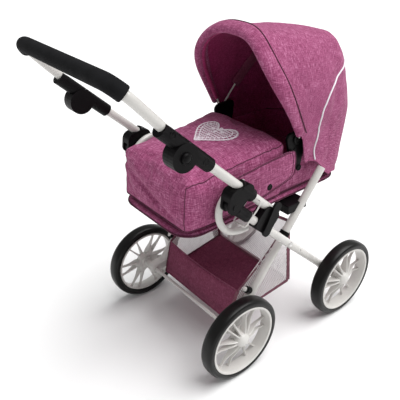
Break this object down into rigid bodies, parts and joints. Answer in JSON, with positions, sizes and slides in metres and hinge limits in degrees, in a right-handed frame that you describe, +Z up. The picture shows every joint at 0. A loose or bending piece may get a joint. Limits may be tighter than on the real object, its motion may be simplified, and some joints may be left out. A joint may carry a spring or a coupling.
{
  "type": "doll stroller",
  "caption": "Doll pram with a fabric carrycot, folding hood and apron on a crossed tube frame, spoked wheels, mesh basket and U-shaped push handle.",
  "frame": {"origin": "bottom centre of the bounding box, on the floor", "axes": "+Z up, +Y towards the hood end, +X to the side, handle at -Y; symmetric about the X = 0 plane"},
  "size_m": [0.339, 0.5808, 0.6028],
  "materials": {
    "white_paint": "gloss",
    "white_plastic": "satin",
    "black_plastic": "satin",
    "tyre": "matt",
    "black_foam": "matt foam",
    "steel": "satin",
    "mauve_fabric": "melange weave",
    "plum_fabric": "canvas",
    "white_lace": "lace"
  },
  "bodies": {
    "rear_frame": {"rear_leg_R": "white_paint", "rear_leg_L": "white_paint", "cross_bolt_R": "steel", "cross_bolt_L": "steel", "axle_holder_rear_R": "white_plastic", "axle_holder_rear_L": "white_plastic", "rear_axle": "white_paint", "basket": "plum_fabric", "basket_clip_R": "black_plastic", "basket_clip_L": "black_plastic", "cot_bracket_R": "black_plastic", "cot_bracket_L": "black_plastic"},
    "front_frame": {"front_leg_R": "white_paint", "front_leg_L": "white_paint", "axle_holder_front_R": "white_plastic", "axle_holder_front_L": "white_plastic", "front_axle": "white_paint", "leg_head_R": "black_plastic", "leg_head_L": "black_plastic", "lock_block_R": "black_plastic", "lock_block_L": "black_plastic", "c_spring_R": "white_paint", "c_spring_L": "white_paint"},
    "handle_lower": {"handle_tube_R": "white_paint", "handle_tube_L": "white_paint", "fold_hub_R": "black_plastic", "fold_hub_L": "black_plastic", "adjuster_lower_R": "black_plastic", "adjuster_lower_L": "black_plastic"},
    "handle_upper": {"handle_bar": "white_paint", "handle_grip": "black_foam", "adjuster_upper_R": "black_plastic", "adjuster_upper_L": "black_plastic"},
    "carrycot": {"cot_shell": "plum_fabric", "cot_base": "mauve_fabric", "mattress": "plum_fabric", "apron": "mauve_fabric", "heart_patch": "white_lace", "cot_flap_R": "mauve_fabric", "cot_flap_L": "mauve_fabric", "hood_pivot_R": "black_plastic", "hood_pivot_L": "black_plastic", "hood_rear": "mauve_fabric"},
    "hood": {"hood_front": "mauve_fabric", "hood_rim": "mauve_fabric", "hood_bow_front": "white_plastic"},
    "hood_mid_bow": {"hood_bow_middle": "white_plastic"},
    "button_R": {"adjuster_button_R": "black_plastic"},
    "catch_R": {"catch_wire_R": "white_paint"},
    "button_L": {"adjuster_button_L": "black_plastic"},
    "catch_L": {"catch_wire_L": "white_paint"},
    "wheel_rear_R": {"tyre_rear_R": "tyre", "rim_rear_R": "white_plastic"},
    "wheel_rear_L": {"tyre_rear_L": "tyre", "rim_rear_L": "white_plastic"},
    "wheel_front_R": {"tyre_front_R": "tyre", "rim_front_R": "white_plastic"},
    "wheel_front_L": {"tyre_front_L": "tyre", "rim_front_L": "white_plastic"}
  },
  "joints": [
    {"name": "frame_fold", "type": "hinge", "parent": "rear_frame", "child": "front_frame", "pos_m": [0, 0.05609, 0.222], "axis": [1, 0, 0], "range_deg": [-30, 0]},
    {"name": "handle_fold", "type": "hinge", "parent": "front_frame", "child": "handle_lower", "pos_m": [0, -0.09621, 0.36205], "axis": [1, 0, 0], "range_deg": [0, 85]},
    {"name": "handle_tilt", "type": "hinge", "parent": "handle_lower", "child": "handle_upper", "pos_m": [0, -0.19055, 0.47515], "axis": [1, 0, 0], "range_deg": [0, 60]},
    {"name": "carrycot_lift", "type": "slide", "parent": "rear_frame", "child": "carrycot", "axis": [0, 0, 1], "range_m": [0, 0.12]},
    {"name": "hood_fold", "type": "hinge", "parent": "carrycot", "child": "hood", "pos_m": [0, 0.0972, 0.4065], "axis": [1, 0, 0], "range_deg": [-70, 0]},
    {"name": "hood_mid_bow_fold", "type": "hinge", "parent": "carrycot", "child": "hood_mid_bow", "pos_m": [0, 0.0972, 0.4065], "axis": [1, 0, 0], "range_deg": [-53, 0]},
    {"name": "adjuster_press_R", "type": "slide", "parent": "handle_upper", "child": "button_R", "axis": [-1, 0, 0], "range_m": [0, 0.003], "stiffness_N_per_m": 400},
    {"name": "catch_swing_R", "type": "hinge", "parent": "front_frame", "child": "catch_R", "pos_m": [0, -0.07821, 0.32105], "axis": [1, 0, 0], "range_deg": [-30, 0]},
    {"name": "adjuster_press_L", "type": "slide", "parent": "handle_upper", "child": "button_L", "axis": [1, 0, 0], "range_m": [0, 0.003], "stiffness_N_per_m": 400},
    {"name": "catch_swing_L", "type": "hinge", "parent": "front_frame", "child": "catch_L", "pos_m": [0, -0.07821, 0.32105], "axis": [1, 0, 0], "range_deg": [-30, 0]},
    {"name": "wheel_spin_rear_R", "type": "hinge", "parent": "rear_frame", "child": "wheel_rear_R", "pos_m": [0.153, -0.0754, 0.0825], "axis": [1, 0, 0], "continuous": true},
    {"name": "wheel_spin_front_R", "type": "hinge", "parent": "front_frame", "child": "wheel_front_R", "pos_m": [0.156, 0.2078, 0.0825], "axis": [1, 0, 0], "continuous": true},
    {"name": "wheel_spin_rear_L", "type": "hinge", "parent": "rear_frame", "child": "wheel_rear_L", "pos_m": [-0.153, -0.0754, 0.0825], "axis": [1, 0, 0], "continuous": true},
    {"name": "wheel_spin_front_L", "type": "hinge", "parent": "front_frame", "child": "wheel_front_L", "pos_m": [-0.156, 0.2078, 0.0825], "axis": [1, 0, 0], "continuous": true}
  ],
  "couplings": [
    {"joint": "hood_mid_bow_fold", "follows": "hood_fold", "ratio": 0.75}
  ]
}
